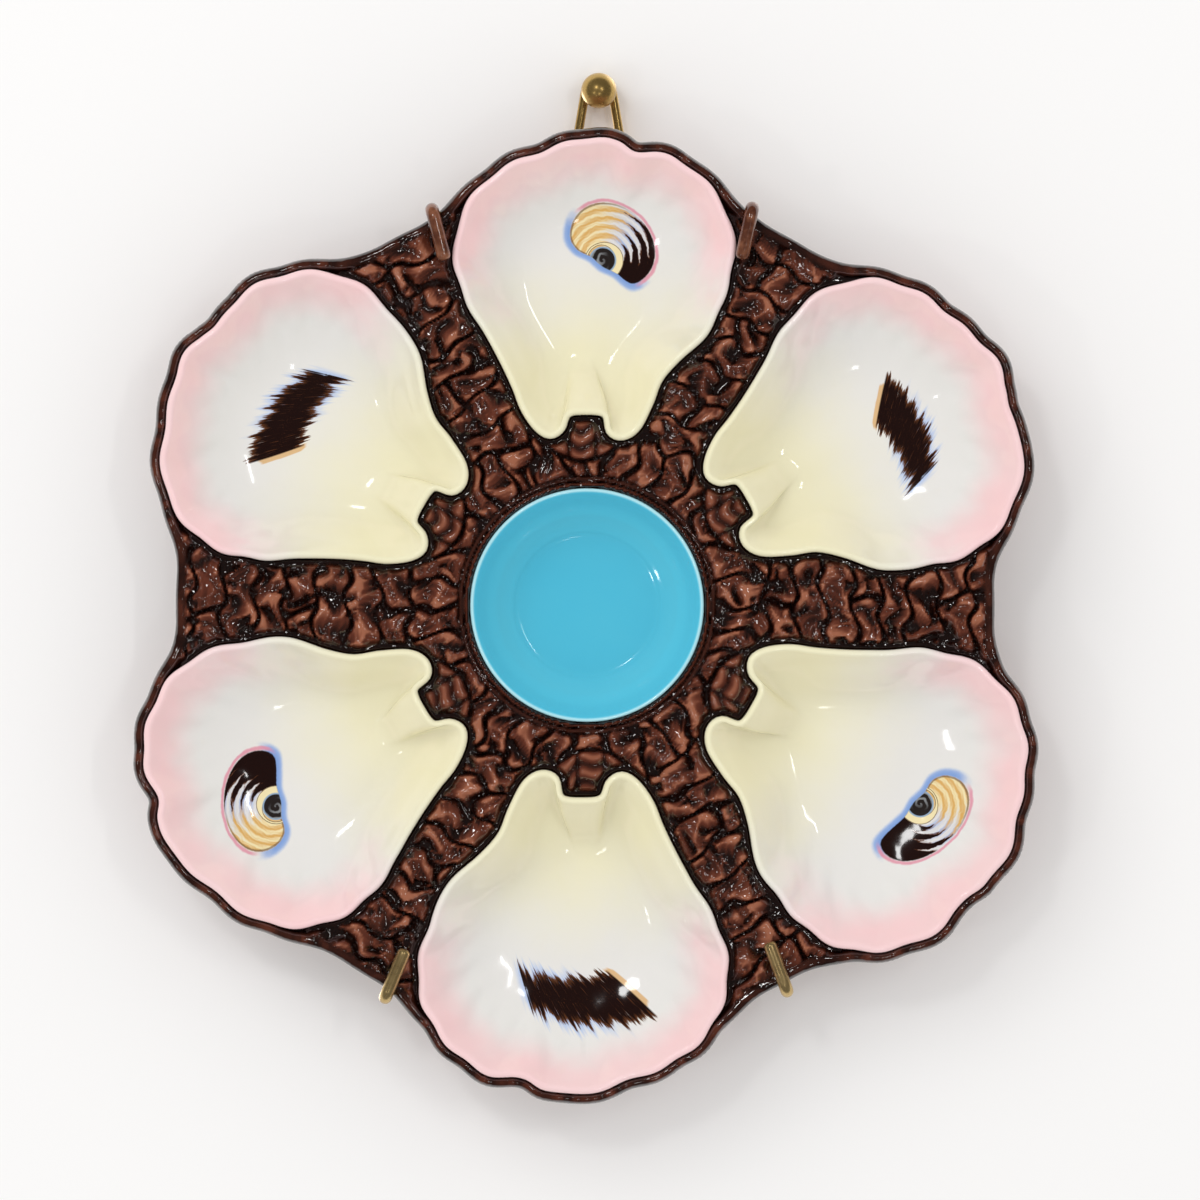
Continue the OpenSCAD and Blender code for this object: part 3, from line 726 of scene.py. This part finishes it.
def block_places():
    """The rockwork blocks: their middles, the way each lies, and how far across counts."""
    blocks = []
    for k in range(6):
        reach = 45.0
        row = 0
        while reach < 106:
            reach += chance.uniform(3.3, 4.3)
            split = (row + k) % 3 == 1 or reach > 92
            columns = (-1, 1) if split else (0,)
            for side in columns:
                skew = chance.uniform(-1, 1, 3)
                aside = side * (4.2 + 0.09 * max(0.0, reach - 80)) + 0.8 * skew[0]
                spot = turned(np.array([[aside, reach + 0.9 * side * skew[1]]]), 28.8 + 60 * k)[0]
                blocks.append((*spot, 28.8 + 60 * k + 16 * skew[2], 0.62 if split else 0.36))
            reach += chance.uniform(3.3, 4.3)
            row += 1
        for lean, near in ((14.5, 40.6), (24.5, 39.0), (34.0, 39.2), (44.5, 40.8)):
            skew = chance.uniform(-1, 1, 3)
            spot = turned(np.array([[0.0, near + 0.8 * skew[0]]]), lean + 1.5 * skew[1] + 60 * k)[0]
            blocks.append((*spot, lean + 60 * k + 90 + 20 * skew[2], 0.62))
        blocks.append((*turned(np.array([[-1.5, 39.0]]), 60 * k)[0], 60.0 * k, 0.7))
    return np.array(blocks)


def rock_relief(points):
    """Height of the crumpled blocks from 0 in the creases to about 1, and their redness."""
    blocks = block_places()
    way = np.radians(blocks[:, 2])
    fans = np.array([-1.2, 49.0])
    height = np.zeros(len(points))
    red = np.zeros(len(points))
    tone = chance.uniform(0.70, 1.0, len(blocks))
    half = np.array([33, 36])
    cells = np.indices(2 * half + 1).reshape(2, -1).T
    chips = (cells - half) * CHIP_PITCH + chance.uniform(-1.7, 1.7, cells.shape)
    tilt = chance.normal(0, 0.27, chips.shape)
    lift = chance.uniform(-0.16, 0.16, len(chips))
    warp = 1.1 * np.column_stack([np.sin(0.55 * points[:, 1] + 0.3 * points[:, 0]),
                                  np.sin(0.50 * points[:, 0] - 0.4 * points[:, 1] + 1)])
    nearby = np.array([(i, j) for i in (-1, 0, 1) for j in (-1, 0, 1)])
    for some in np.array_split(np.arange(len(points)), max(1, len(points) // 20000)):
        here = points[some] + warp[some]
        away = here[:, None, :] - blocks[None, :, :2]
        along = away[..., 0] * np.sin(way) + away[..., 1] * np.cos(way)
        across = (away[..., 0] * np.cos(way) - away[..., 1] * np.sin(way)) * blocks[:, 3]
        spans = np.hypot(along, across)
        order = np.argpartition(spans, 1, axis=1)[:, :2]
        first = np.take_along_axis(spans, order, 1)
        own = np.where(first[:, 0] < first[:, 1], order[:, 0], order[:, 1])
        margin = first.max(1) - first.min(1)
        pillow = eased(margin, 0.0, CREASE_WIDTH) ** 0.6 * (1 - 0.10 * eased(margin, 2.0, 6.0))
        cell = np.rint(here / CHIP_PITCH).astype(int)[:, None, :] + half + nearby[None]
        pick = cell[..., 0] * (2 * half[1] + 1) + cell[..., 1]
        offset = here[:, None, :] - chips[pick]
        squares = (offset ** 2).sum(2)
        weight = np.exp(-0.55 * (squares - squares.min(1)[:, None]))
        weight /= weight.sum(1)[:, None]
        nearest = np.partition(np.sqrt(squares), 1, axis=1)
        fold = nearest[:, 1] - nearest[:, 0]
        ridge = np.exp(-(fold / 0.50) ** 2) * (0.45 + 0.75 * np.sin(1.7 * own + 0.9 * here[:, 0]))
        crumple = (weight * ((offset * tilt[pick]).sum(2) + lift[pick])).sum(1)
        bend = 1.9 * here[:, 0] * np.sin(own) + 1.9 * here[:, 1] * np.cos(own) + 2.0 * crumple
        crumple += 0.19 * (1 - 2 * np.abs(np.sin(bend)) ** 0.6)
        height[some] = pillow * (0.70 + 0.62 * crumple + 0.20 * ridge)
        red[some] = pillow ** 3 * tone[own] * (0.58 + 0.85 * crumple + 0.50 * ridge
                                               + 0.20 * eased(margin, 3.0, 1.4))
    for k in range(6):
        local = turned(points, -60.0 * k)
        away = local - fans
        reach = np.linalg.norm(away, axis=1)
        open_way = np.degrees(np.abs(np.arctan2(away[:, 0], -away[:, 1])))
        fan = eased(reach, 13.4, 12.2) * eased(open_way, 74, 62) * (local[:, 1] > 0)
        swept = reach - 2.4 + 0.6 * np.sin(0.9 * local[:, 0] + k)
        arcs = 0.5 + 0.5 * np.cos(2 * math.pi * swept / FAN_PITCH)
        aside = np.abs(local[:, 0] + 1.2 + 0.8 * math.sin(2 * k)) - 3.4
        split = 1 - 0.5 * np.exp(-(aside / 0.6) ** 2)
        shape = (0.45 + 0.55 * arcs ** 0.7) * split * eased(reach, FAN_REACH, FAN_REACH - 1.2)
        height = height * (1 - fan) + 0.90 * shape * fan
        red = red * (1 - fan) + 0.75 * shape ** 2 * fan
    return np.maximum(height, 0), red


def sheet_height(points, gap, run, edge, radius):
    """Height above the wall, and how red the glaze shows, over the brown ground."""
    wide = np.maximum(gap + edge - LIP_OUT, 0.5)
    narrow = eased(wide, 7.0, 3.4)
    ripple = np.sin(2 * math.pi * run / 6.3 + 2 * np.sin(run * 0.3)) * np.sin(run * 0.31)
    border = (1.55 + 0.65 * narrow + 0.12 * ripple) \
        * hump(np.clip(edge / np.minimum(wide, RIDGE_W), 0, 1))
    band_width = 1.9 + 0.3 * np.sin(run * 0.45)
    band = (0.62 + 0.12 * ripple) * hump(np.clip((gap - LIP_OUT) / band_width, 0, 1)) * (1 - narrow)
    from_cup = radius - CUP_R
    rings = 1.35 * hump(np.clip(from_cup / 1.5, 0, 1)) * (from_cup > 0)
    rings += 0.85 * hump(np.clip((from_cup - 1.75) / 1.25, 0, 1))
    rocky = eased(gap, 2.0, 3.7) * eased(edge, 1.7, 3.2) * eased(from_cup, 2.6, 4.0)
    rock, red = rock_relief(points)
    rock = rock / (1 + (rock / 1.02) ** 6) ** (1 / 6)
    z = ROCK_FLOOR_Z + np.maximum.reduce([border, band, rings, ROCK_RISE * rocky * rock])
    redness = np.maximum.reduce([rocky * red, (0.24 + 0.12 * ripple) * border / 2, 0.12 * band,
                                 0.40 * rings / 1.35 * (from_cup > 0.7)])
    return z, redness


def boundary_of(mesh_object):
    """The vertices on the open edges of a mesh."""
    mesh = mesh_object.data
    sides = np.zeros(len(mesh.loops), np.int32)
    mesh.loops.foreach_get("edge_index", sides)
    ends = np.zeros(len(mesh.edges) * 2, np.int32)
    mesh.edges.foreach_get("vertices", ends)
    lone = np.bincount(sides, minlength=len(mesh.edges)) == 1
    return np.unique(ends.reshape(-1, 2)[lone])


def places_of(mesh_object):
    """The vertices of a mesh, as rows of three."""
    points = np.zeros(len(mesh_object.data.vertices) * 3)
    mesh_object.data.vertices.foreach_get("co", points)
    return points.reshape(-1, 3)


bpy.ops.object.select_all(action="DESELECT")
counts = [int(round(2 * half / SHEET_STEP)) for half in SHEET_HALF]
bpy.ops.mesh.primitive_grid_add(x_subdivisions=counts[0], y_subdivisions=counts[1], size=1.0)
rockwork = bpy.context.object
rockwork.name = "rockwork"
spread = places_of(rockwork)[:, :2] * 2 * np.array(SHEET_HALF)
depth = np.full(len(spread), -1.0)
reach = np.hypot(spread[:, 0], spread[:, 1])
within = np.where((reach > RING_IN - 2) & (reach < 128))[0]
depth[within] = sheet_depth(spread[within])[0]
corners = np.zeros(len(rockwork.data.polygons) * 4, np.int32)
rockwork.data.polygons.foreach_get("vertices", corners)
corners = corners.reshape(-1, 4)
left_out = depth[corners].mean(1) < 0.02  # faces over a shell, the cup or the edge
kept = np.unique(corners[~left_out])
rockwork.data.vertices.foreach_set("select", np.zeros(len(spread), bool))
rockwork.data.edges.foreach_set("select", np.zeros(len(rockwork.data.edges), bool))
rockwork.data.polygons.foreach_set("select", left_out)
only(rockwork)
bpy.ops.object.mode_set(mode="EDIT")
bpy.ops.mesh.select_mode(type="FACE")
bpy.ops.mesh.delete(type="FACE")
bpy.ops.object.mode_set(mode="OBJECT")
spread = spread[kept]
# The sheet's stepped edge is drawn onto the outlines of the shells, the cup and the plate.
rim_points = boundary_of(rockwork)
tiny = 0.02
for _ in range(4):
    here = spread[rim_points]
    value = sheet_depth(here)[0]
    slope = np.column_stack([sheet_depth(here + np.array([tiny, 0]))[0] - value,
                             sheet_depth(here + np.array([0, tiny]))[0] - value]) / tiny
    size = np.maximum((slope ** 2).sum(1), 0.25)
    spread[rim_points] = here - np.clip(value / size, -0.4, 0.4)[:, None] * slope
_, gap, run, edge, radius = sheet_depth(spread)
sheet_z, redness = sheet_height(spread, gap, run, edge, radius)
moved(rockwork, hung(np.column_stack([spread, sheet_z])))
marked(rockwork, "redness", redness)
only(rockwork)
bpy.ops.object.mode_set(mode="EDIT")
bpy.ops.mesh.select_mode(type="EDGE")
bpy.ops.mesh.select_all(action="DESELECT")
bpy.ops.mesh.select_non_manifold(extend=False, use_wire=False, use_boundary=True,
                                 use_multi_face=False, use_non_contiguous=False, use_verts=False)
bpy.ops.mesh.extrude_region_move()
bpy.ops.object.mode_set(mode="OBJECT")
points = places_of(rockwork)
points[len(spread):, 1] = -SPOKE_BACK_Z * MM
moved(rockwork, points)
bpy.ops.object.mode_set(mode="EDIT")
bpy.ops.mesh.fill(use_beauty=False)
bpy.ops.mesh.select_all(action="SELECT")
bpy.ops.mesh.normals_make_consistent(inside=False)
bpy.ops.object.mode_set(mode="OBJECT")
only(rockwork)
bpy.ops.object.shade_smooth_by_angle(angle=math.radians(50))

NEAR_BLACK = (0.008, 0.0016, 0.0008)
RED_BROWN = (0.125, 0.031, 0.016)
COPPER_BROWN = (0.42, 0.155, 0.085)


def brown_paint(name):
    """Brown glaze: nearly black where it pools, red and copper brown where it runs thin."""
    mix = Mix(name)
    cloud = mix.noise(120.0, 3.0, 0.6)
    red = mix.mark("redness") * 1.1 + (cloud - 0.45) * 0.26
    colour = mix.blend(red.step(0.06, 0.66), NEAR_BLACK, RED_BROWN)
    colour = mix.blend(red.step(0.55, 1.05) * 0.75, colour, COPPER_BROWN)
    mix.put(mix.shader.inputs["Specular IOR Level"], 0.85)
    return mix.finish(
        Base_Color=colour, Roughness=0.05 + 0.05 * cloud, Coat_Weight=0.3, Coat_Roughness=0.02,
        Normal=mix.bump(mix.noise(330.0, 2.0) + mix.dents(420.0) * 1.2, 0.00010, 0.6))


rockwork.data.materials.append(brown_paint("brown_rock_glaze"))
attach(rockwork, "hanger")
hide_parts("plate_body")

# The underside of the plate: the backs of the wells and the cup bulge between the spokes, and the
# foot ring that the plate stands on runs across them. Glazed brown, with the foot wiped bare.
FOOT_R = 57.0
FOOT_W = 4.6
FOOT_Z = 5.8
WELL_BACK_Z = 12.2
BACK_EDGE_Z = 24.4
BACK_WALL = 1.2
BACK_REDNESS = 0.45
for index, shell in enumerate(SHELLS):
    outer = shell.grown(BORDER_W - 0.7)
    steps = 2 * math.pi * np.arange(OUTLINE_STEPS) / OUTLINE_STEPS
    oval = np.column_stack([shell.centre[0] + FLOOR_SHARE * WELL_W * np.sin(steps),
                            shell.centre[1] + 0.49 * WELL_L * np.cos(steps)])
    rings = []
    for t in np.concatenate([np.linspace(0.0, 0.97, 26), [1.0]]):
        inner = eased(t, 0.0, 0.45)
        flat = shell.centre + (1 - t) * (outer * (1 - inner) + oval * inner - shell.centre)
        fall = 1 - (1 - min(1, t / 0.6)) ** 2.0
        z = BACK_EDGE_Z - fall * (BACK_EDGE_Z - WELL_BACK_Z)
        rings.append(np.column_stack([flat, np.full(OUTLINE_STEPS, z)]))
    stack = np.array(rings)[:, ::2]
    stack[..., :2] = turned(stack[..., :2], shell.angle)
    bulge = ring_sheet(WELL_NAMES[index] + "_well_back", stack)
    marked(bulge, "redness", np.full(len(bulge.data.vertices), BACK_REDNESS))
    mesh_work(bulge, mended)
    applied(bulge, "SOLIDIFY", thickness=BACK_WALL * MM, offset=-1.0)
    only(bulge)
    bpy.ops.object.shade_smooth_by_angle(angle=math.radians(50))
    if index == 0:
        back_glaze = brown_paint("brown_back_glaze")
    bulge.data.materials.append(back_glaze)
    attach(bulge, "hanger")

CUP_BACK = ((34.2, BACK_EDGE_Z), (33.6, 22.2), (32.0, 18.6), (28.6, 14.6),
            (23.0, 11.6), (16.0, 10.9), (0.0, 10.9))
cup_back = turned_form("sauce_cup_back", CUP_BACK)
marked(cup_back, "redness", np.full(len(cup_back.data.vertices), BACK_REDNESS))
mesh_work(cup_back, mended)
applied(cup_back, "SOLIDIFY", thickness=BACK_WALL * MM, offset=-1.0)
only(cup_back)
bpy.ops.object.shade_smooth_by_angle(angle=math.radians(50))
cup_back.data.materials.append(back_glaze)
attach(cup_back, "hanger")

FOOT_IN = FOOT_R - FOOT_W
FOOT_TOP_Z = 25.6
FOOT_PATH = ((FOOT_R + 2.6, FOOT_TOP_Z), (FOOT_R + 1.7, 17.0), (FOOT_R + 0.5, 9.0),
             (FOOT_R - 0.4, FOOT_Z + 0.7), (FOOT_R - 1.2, FOOT_Z), (FOOT_IN + 1.0, FOOT_Z),
             (FOOT_IN + 0.2, FOOT_Z + 0.7), (FOOT_IN - 0.1, 10.0), (FOOT_IN - 0.5, FOOT_TOP_Z),
             (FOOT_R + 2.6, FOOT_TOP_Z))
FOOT_STEPS = 192
CLAY_DARK = (0.42, 0.20, 0.12)
CLAY_PALE = (0.62, 0.36, 0.24)
stack = np.array([circle(r, z, FOOT_STEPS) for r, z in FOOT_PATH])
# Where the ring passes under a well, its top stays below the clay.
near_ring = np.concatenate(well_points)
near_ring = near_ring[np.abs(np.hypot(near_ring[:, 0], near_ring[:, 1]) - FOOT_R) < 12]
for spot in stack.reshape(-1, 3):
    over = np.hypot(near_ring[:, 0] - spot[0], near_ring[:, 1] - spot[1]) < 3.0
    if over.any():
        spot[2] = min(spot[2], near_ring[over, 2].min() - COAT - 0.6)
foot = ring_sheet("foot_ring", stack)
bare = np.array([1.0 if z < FOOT_Z + 0.8 else 0.0 for _, z in FOOT_PATH])
marked(foot, "bare", np.repeat(bare, FOOT_STEPS + 1))
mesh_work(foot, mended)
only(foot)
bpy.ops.object.shade_smooth_by_angle(angle=math.radians(40))
footing = Mix("foot_clay")
grit = footing.noise(900.0, 4.0, 0.7)
glazed = footing.blend(footing.noise(120.0, 3.0).step(0.2, 0.8) * 0.6, NEAR_BLACK, RED_BROWN)
rubbed = footing.blend(grit, CLAY_DARK, CLAY_PALE)
wiped = (footing.mark("bare") + (footing.noise(300.0, 3.0) - 0.5) * 0.5).step(0.35, 0.65)
foot.data.materials.append(footing.finish(
    Base_Color=footing.blend(wiped, glazed, rubbed), Roughness=0.15 + 0.65 * wiped,
    Normal=footing.bump(grit * wiped, 0.00020, 0.6)))
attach(foot, "hanger")

# The wires of the spring hanger: hard brass wire, bent cold. The upper one loops over the wall peg
# and hooks on the plate's upper edge; the lower one hangs on the springs and hooks from below.


def smooth_copy(node, name, fatten, levels=2):
    """A rounded copy of a piece of the frame, with its faces paired and swelled to its true size."""
    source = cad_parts[node]
    made = bpy.data.objects.new(name, source.data.copy())
    bpy.context.scene.collection.objects.link(made)
    made.data.materials.clear()
    mesh_work(made,
              lambda: bpy.ops.mesh.remove_doubles(threshold=0.000002),
              lambda: bpy.ops.mesh.tris_convert_to_quads(
                  face_threshold=math.radians(50), shape_threshold=math.radians(60)),
              lambda: bpy.ops.transform.shrink_fatten(value=fatten))
    applied(made, "SUBSURF", levels=levels, render_levels=levels)
    only(made)
    bpy.ops.object.shade_smooth()
    return made


def metal(name, colour, dark, rough, bare=0.82):
    """Satin metal with a soft tarnish."""
    mix = Mix(name)
    tarnish = mix.noise(140.0, 3.0, 0.6)
    grain = mix.noise(500.0, 2.0)
    return mix.finish(
        Base_Color=mix.blend(tarnish.step(0.42, 0.75) * 0.7, colour, dark), Metallic=bare,
        Roughness=rough + 0.12 * grain, Normal=mix.bump(grain, 0.000004, 0.2))


AGED_BRASS = (0.54, 0.35, 0.11)
DARK_BRASS = (0.30, 0.19, 0.06)
wire_brass = metal("wire_brass", AGED_BRASS, DARK_BRASS, 0.20)
WIRE_SWELL = 0.00012
for node, name, body in (("upper_hanger_wire", "upper_wire", "hanger"),
                         ("lower_hanger_wire", "lower_wire", "lower_hooks")):
    wire = smooth_copy(node, name, WIRE_SWELL)
    wire.data.materials.append(wire_brass)
    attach(wire, body)
    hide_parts(node)

# The two springs: close coils of steel wire, each with an eye round the wire at either end, that
# pull the lower hooks up against the plate's edge.
SPRING_SWELL = 0.00006
spring_steel = metal("spring_steel", (0.62, 0.61, 0.59), (0.36, 0.35, 0.33), 0.22, 0.8)
for side in ("left", "right"):
    spring = smooth_copy(side + "_spring", side + "_coil", SPRING_SWELL, 1)
    spring.data.materials.append(spring_steel)
    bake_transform(spring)
    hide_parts(side + "_spring")

# The sleeves on the hooks: soft brown plastic with a closed tip on the upper pair, and drawn brass
# on the lower pair, so that the wire's ends don't scratch the glaze.
SLEEVE_DARK = (0.075, 0.020, 0.009)
SLEEVE_PALE = (0.24, 0.090, 0.045)
SLEEVE_SWELL = 0.00010
soft = Mix("soft_sleeve")
streaks = soft.noise(260.0, 3.0, 0.6)
soft.finish(Base_Color=soft.blend(streaks.step(0.35, 0.7), SLEEVE_DARK, SLEEVE_PALE),
            Roughness=0.10 + 0.08 * streaks, Coat_Weight=0.6, Coat_Roughness=0.04,
            Normal=soft.bump(streaks, 0.00022, 0.7))
soft.put(soft.shader.inputs["Specular IOR Level"], 0.8)
sleeve_brass = metal("sleeve_brass", (0.60, 0.43, 0.19), (0.36, 0.24, 0.10), 0.22)
for node, body, finish, slot_name in (
        ("upper_left_hook_sleeve", "hanger", soft.material, "soft_sleeve"),
        ("upper_right_hook_sleeve", "hanger", soft.material, "soft_sleeve"),
        ("lower_left_hook_sleeve", "lower_hooks", sleeve_brass, "metal_sleeve"),
        ("lower_right_hook_sleeve", "lower_hooks", sleeve_brass, "metal_sleeve")):
    sleeve = smooth_copy(node, node.replace("_hook", ""), SLEEVE_SWELL)
    sleeve.data.materials.append(finish)
    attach(sleeve, body)
    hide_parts(node)

# The wall peg: a brass ball turned with a short seat, pressed on a straight shank, and a collar
# that stops it against the wall.
BALL_R = 4.55
ball_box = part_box("peg_ball")
ball_out = -(ball_box[0].y + BALL_R * MM) / MM
peg_brass = metal("peg_brass", (0.56, 0.37, 0.12), (0.36, 0.23, 0.07), 0.22)


def peg_form(name, node, profile, steps=64):
    """A form turned about the peg's own axis from its radii and its distances from the wall."""
    a = 2 * math.pi * np.arange(steps) / steps
    rings = np.array([np.column_stack([r * np.sin(a) + HANG_SIDE, r * np.cos(a) + HANG_DROP,
                                       np.full(steps, y)]) for r, y in profile])
    made = ring_sheet(name, rings)
    mesh_work(made, mended)
    only(made)
    bpy.ops.object.shade_smooth_by_angle(angle=math.radians(35))
    made.data.materials.append(peg_brass)
    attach(made, "wall_peg")
    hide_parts(node)


arc = np.radians(np.linspace(0, 152, 34))
seat = [(BALL_R * math.sin(a), ball_out + BALL_R * math.cos(a)) for a in arc]
seat += [(2.6, seat[-1][1] - 0.25), (2.3, seat[-1][1] - 0.3), (0.0, seat[-1][1] - 0.3)]
peg_form("ball_head", "peg_ball", seat)
peg_form("shank", "peg_shank", [(0.0, ball_out - 2.0), (2.05, ball_out - 2.0), (2.1, ball_out - 2.2),
                                (2.1, 0.0), (1.7, -0.05), (1.7, -21.3), (1.1, -22.0), (0.0, -22.0)])
peg_form("collar", "peg_collar", [(0.0, 2.4), (3.3, 2.4), (3.7, 2.15), (3.8, 1.8), (3.8, 0.2),
                                  (3.6, 0.0), (0.0, 0.0)])
